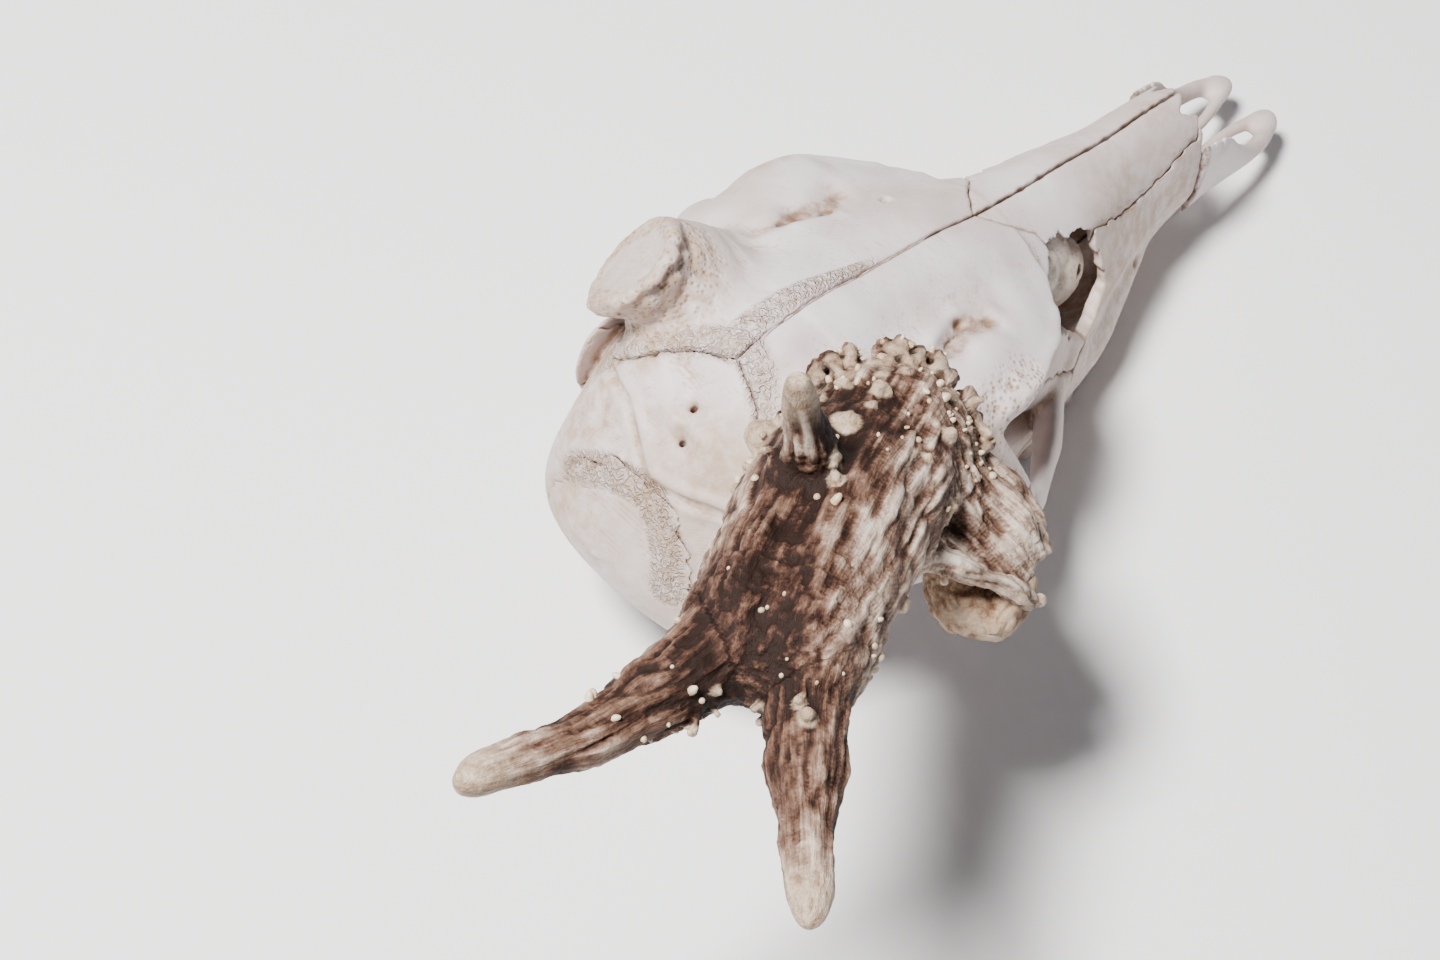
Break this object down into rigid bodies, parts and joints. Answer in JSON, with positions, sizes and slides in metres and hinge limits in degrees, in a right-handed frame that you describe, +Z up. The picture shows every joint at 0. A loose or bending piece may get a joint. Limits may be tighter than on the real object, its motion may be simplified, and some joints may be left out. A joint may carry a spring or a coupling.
{
  "type": "roe deer buck skull",
  "caption": "Skull of a roe deer buck without its lower jaw, with a malformed forked antler on the right pedicle and a bare cast seal on the left; rests on its cheek teeth.",
  "frame": {"origin": "middle of the bounding box, on the plane of the chewing surfaces that the skull rests on", "axes": "+X forward to the tips of the premaxillae, +Y to the animal's left, +Z up"},
  "size_m": [0.2816, 0.1456, 0.1484],
  "materials": {
    "bone": "dry bleached bone, matte with a faint sheen",
    "turbinate": "thin ragged bone scroll, matte",
    "antler": "furrowed brown antler with ivory ridges, pearls and tips, satin",
    "spongy_antler": "porous brown antler bone, matte"
  },
  "bodies": {
    "root": {"nasal_left": "bone", "nasal_right": "bone", "frontal_left": "bone", "frontal_right": "bone", "occipital": "bone", "parietal": "bone", "temporal_left": "bone", "temporal_right": "bone", "jugal_left": "bone", "jugal_right": "bone", "lacrimal_left": "bone", "lacrimal_right": "bone", "palatine": "bone", "maxilla_left": "bone", "maxilla_right": "bone", "premaxilla_left": "bone", "premaxilla_right": "bone", "turbinate_left": "turbinate", "turbinate_right": "turbinate", "sphenoid": "bone", "antler_tine_rear": "antler", "antler_tine_side": "antler", "antler_tine_front": "antler", "antler_beam": "antler", "antler_lobe": "spongy_antler"}
  },
  "joints": []
}
